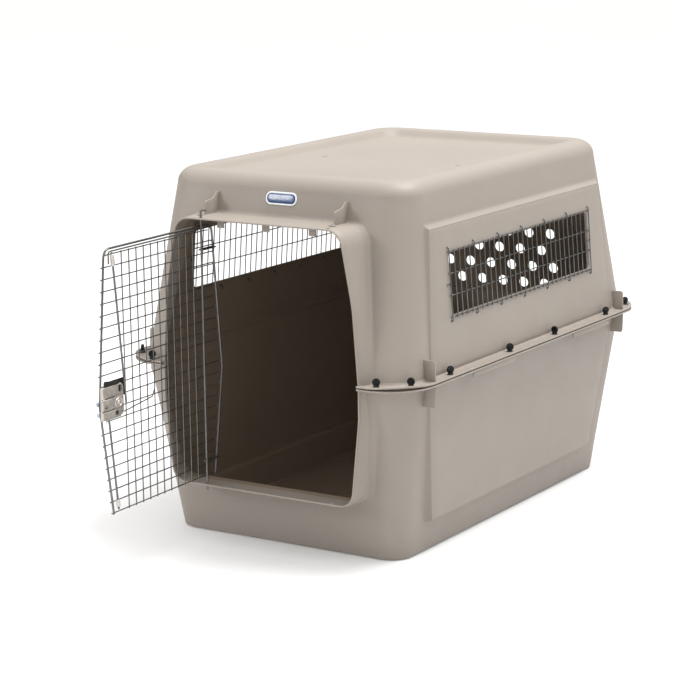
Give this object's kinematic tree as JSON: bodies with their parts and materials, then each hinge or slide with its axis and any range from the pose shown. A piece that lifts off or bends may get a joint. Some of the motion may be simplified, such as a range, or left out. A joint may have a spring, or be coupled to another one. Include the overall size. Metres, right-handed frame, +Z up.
{
  "type": "pet transport carrier",
  "caption": "Large two-shell plastic pet carrier with flanged seam, wire side windows, round rear vents and a swing-out wire door with a two-rod latch, shown open.",
  "frame": {"origin": "centre of the lower shell's flat underside, at ground level", "axes": "+Z up; -Y is the doorway end; +X is the long side on the right of someone facing the doorway"},
  "size_m": [0.804, 1.6019, 0.866],
  "materials": {
    "shell_plastic": "fine textured satin",
    "fastener_plastic": "satin",
    "fastener_steel": "zinc plated",
    "zinc_wire": "galvanised wire",
    "stamped_steel": "stamped, zinc plated",
    "badge_pale": "gloss",
    "badge_blue": "gloss"
  },
  "bodies": {
    "carrier_body": {"badge_face": "badge_blue", "badge_rim": "badge_pale", "flange_bolt_left_front_1": "fastener_steel", "flange_bolt_left_front_2": "fastener_steel", "flange_bolt_left_front_3": "fastener_steel", "flange_bolt_left_front_4": "fastener_steel", "flange_bolt_left_rear_1": "fastener_steel", "flange_bolt_left_rear_2": "fastener_steel", "flange_bolt_left_rear_3": "fastener_steel", "flange_bolt_left_rear_4": "fastener_steel", "flange_bolt_right_front_1": "fastener_steel", "flange_bolt_right_front_2": "fastener_steel", "flange_bolt_right_front_3": "fastener_steel", "flange_bolt_right_front_4": "fastener_steel", "flange_bolt_right_rear_1": "fastener_steel", "flange_bolt_right_rear_2": "fastener_steel", "flange_bolt_right_rear_3": "fastener_steel", "flange_bolt_right_rear_4": "fastener_steel", "hinge_rod": "zinc_wire", "lower_shell": "shell_plastic", "upper_shell": "shell_plastic", "window_grille_left": "zinc_wire", "window_grille_right": "zinc_wire", "wing_nut_left_front_1": "fastener_plastic", "wing_nut_left_front_2": "fastener_plastic", "wing_nut_left_front_3": "fastener_plastic", "wing_nut_left_front_4": "fastener_plastic", "wing_nut_left_rear_1": "fastener_plastic", "wing_nut_left_rear_2": "fastener_plastic", "wing_nut_left_rear_3": "fastener_plastic", "wing_nut_left_rear_4": "fastener_plastic", "wing_nut_right_front_1": "fastener_plastic", "wing_nut_right_front_2": "fastener_plastic", "wing_nut_right_front_3": "fastener_plastic", "wing_nut_right_front_4": "fastener_plastic", "wing_nut_right_rear_1": "fastener_plastic", "wing_nut_right_rear_2": "fastener_plastic", "wing_nut_right_rear_3": "fastener_plastic", "wing_nut_right_rear_4": "fastener_plastic"},
    "door": {"door_frame_wire": "zinc_wire", "door_mesh_panel": "zinc_wire", "hinge_loop_upper": "zinc_wire", "hinge_loop_lower": "zinc_wire", "latch_housing": "stamped_steel", "latch_cover_plate": "stamped_steel", "latch_rivet": "stamped_steel", "rod_guide_upper": "stamped_steel", "rod_guide_lower": "stamped_steel", "latch_stay_wire": "zinc_wire"},
    "latch_upper": {"latch_slider_upper": "stamped_steel", "latch_grip_upper": "stamped_steel", "latch_rod_upper": "zinc_wire"},
    "latch_lower": {"latch_slider_lower": "stamped_steel", "latch_grip_lower": "stamped_steel", "latch_rod_lower": "zinc_wire"}
  },
  "joints": [
    {"name": "door_swing", "type": "hinge", "parent": "carrier_body", "child": "door", "pos_m": [-0.1575, -0.59, 0.455], "axis": [0, 0, 1], "range_deg": [-31.5, 88.5]},
    {"name": "latch_upper_slide", "type": "slide", "parent": "door", "child": "latch_upper", "axis": [0.0027, -0.1032, 0.9947], "range_m": [0, 0.036]},
    {"name": "latch_lower_slide", "type": "slide", "parent": "door", "child": "latch_lower", "axis": [-0.0031, 0.1179, -0.993], "range_m": [0, 0.036]}
  ],
  "couplings": [
    {"joint": "latch_lower_slide", "follows": "latch_upper_slide", "ratio": 1}
  ]
}
